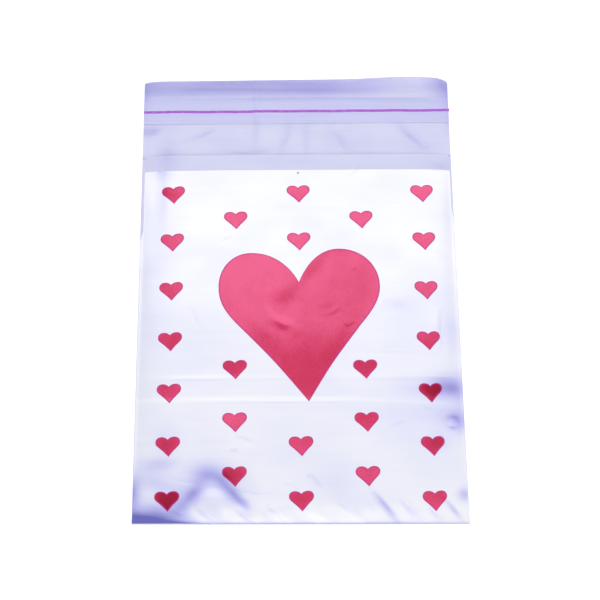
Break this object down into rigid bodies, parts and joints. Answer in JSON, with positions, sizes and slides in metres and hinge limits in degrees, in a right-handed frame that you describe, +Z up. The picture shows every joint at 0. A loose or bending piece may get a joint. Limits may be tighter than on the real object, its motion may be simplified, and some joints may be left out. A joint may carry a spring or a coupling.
{
  "type": "self-seal film bag",
  "caption": "Flat plastic film bag with a folded bottom, welded sides, a white front printed with hearts, and a clear flap whose adhesive strip lies under a lined release tape.",
  "frame": {"origin": "middle of the bag's footprint, on the surface that its back wall lies on", "axes": "+Y from the bottom fold towards the flap, +Z up out of the printed front wall, +X to the right as the print is seen"},
  "size_m": [0.15, 0.2166, 0.0045],
  "materials": {
    "clear_film": "clear glossy film with a pale lavender cast and soft creases",
    "white_print": "glossy pearly white ink on film, faintly lavender in its folds",
    "red_print": "glossy rose red ink on film",
    "grey_print": "grey ink dot",
    "adhesive": "clear tacky adhesive with a slight haze",
    "liner_film": "thin satin release film",
    "magenta_print": "violet magenta line printed on the release film"
  },
  "bodies": {
    "root": {"bag_film": "clear_film", "white_ground": "white_print", "large_heart": "red_print", "small_heart_left_outer_1": "red_print", "small_heart_left_outer_2": "red_print", "small_heart_left_outer_3": "red_print", "small_heart_left_outer_4": "red_print", "small_heart_left_outer_5": "red_print", "small_heart_left_outer_6": "red_print", "small_heart_left_outer_7": "red_print", "small_heart_left_inner_1": "red_print", "small_heart_left_inner_4": "red_print", "small_heart_left_inner_5": "red_print", "small_heart_left_inner_6": "red_print", "small_heart_middle_1": "red_print", "small_heart_middle_2": "red_print", "small_heart_middle_6": "red_print", "small_heart_middle_7": "red_print", "small_heart_right_inner_1": "red_print", "small_heart_right_inner_4": "red_print", "small_heart_right_inner_5": "red_print", "small_heart_right_inner_6": "red_print", "small_heart_right_outer_1": "red_print", "small_heart_right_outer_2": "red_print", "small_heart_right_outer_3": "red_print", "small_heart_right_outer_4": "red_print", "small_heart_right_outer_5": "red_print", "small_heart_right_outer_6": "red_print", "small_heart_right_outer_7": "red_print", "register_dot": "grey_print", "adhesive_strip": "adhesive", "release_liner": "liner_film", "liner_line": "magenta_print"}
  },
  "joints": []
}
